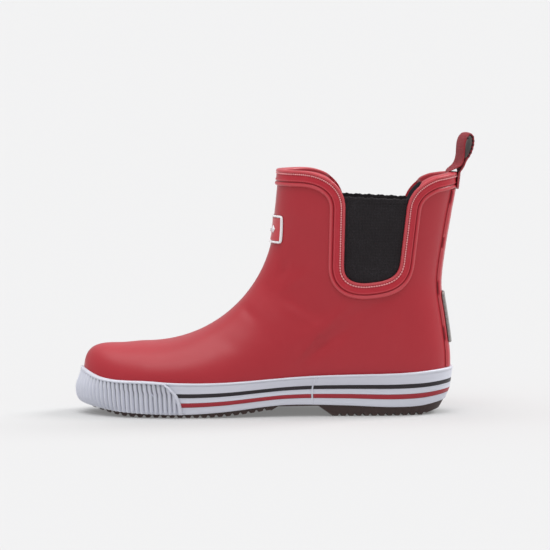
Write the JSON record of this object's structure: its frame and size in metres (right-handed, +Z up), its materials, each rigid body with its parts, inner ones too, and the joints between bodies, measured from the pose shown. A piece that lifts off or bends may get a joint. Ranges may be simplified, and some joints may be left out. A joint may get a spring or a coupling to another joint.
{
  "type": "rubber rain boot",
  "caption": "Low child's pull-on rubber rain boot with elastic side gores, trim band, striped sole wall, ribbed toe bumper, lugged sole and rear pull loop.",
  "frame": {"origin": "centre of the bounding box at floor level", "axes": "+Z up, +X from toe to heel, +Y towards the outer side of the foot (right boot)"},
  "size_m": [0.2383, 0.0888, 0.1678],
  "materials": {
    "red_rubber": "satin",
    "red_trim": "satin",
    "badge_red": "satin",
    "white_rubber": "satin",
    "pale_rubber": "satin",
    "red_stripe": "satin",
    "black_rubber": "satin",
    "brown_rubber": "matte",
    "elastic": "ribbed weave",
    "webbing": "woven",
    "reflective": "retroreflective",
    "knit": "knitted",
    "binding": "woven",
    "footbed_foam": "cloth-topped foam",
    "board": "matte fibreboard",
    "stiffener": "matte",
    "felt": "felted"
  },
  "bodies": {
    "boot": {"rubber_upper": "red_rubber", "midsole_filler": "felt", "insole_board": "board", "toe_puff": "stiffener", "heel_counter": "stiffener", "lining": "knit", "collar_band": "red_trim", "inner_binding": "binding", "gore_medial": "elastic", "gore_lateral": "elastic", "back_stay": "red_trim", "heel_reflector": "reflective", "badge_frame": "white_rubber", "badge_field": "badge_red", "badge_pip_1": "white_rubber", "badge_pip_2": "white_rubber", "badge_pip_3": "white_rubber", "loop_tail_outer": "webbing", "loop_tail_inner": "webbing", "foxing": "pale_rubber", "red_stripe": "red_stripe", "black_stripe": "black_rubber", "toe_bumper": "pale_rubber", "outsole": "brown_rubber"},
    "pull_loop": {"pull_loop": "webbing", "loop_reflector": "reflective"},
    "footbed": {"footbed": "footbed_foam"}
  },
  "joints": [
    {"name": "loop_swing", "type": "hinge", "parent": "boot", "child": "pull_loop", "pos_m": [0.1086, 0, 0.1472], "axis": [0, 1, 0], "range_deg": [-35, 60], "stiffness_Nm_per_rad": 0.02},
    {"name": "footbed_lift", "type": "hinge", "parent": "boot", "child": "footbed", "pos_m": [-0.1085, 0, 0.014], "axis": [0, -1, 0], "range_deg": [0, 5]}
  ]
}
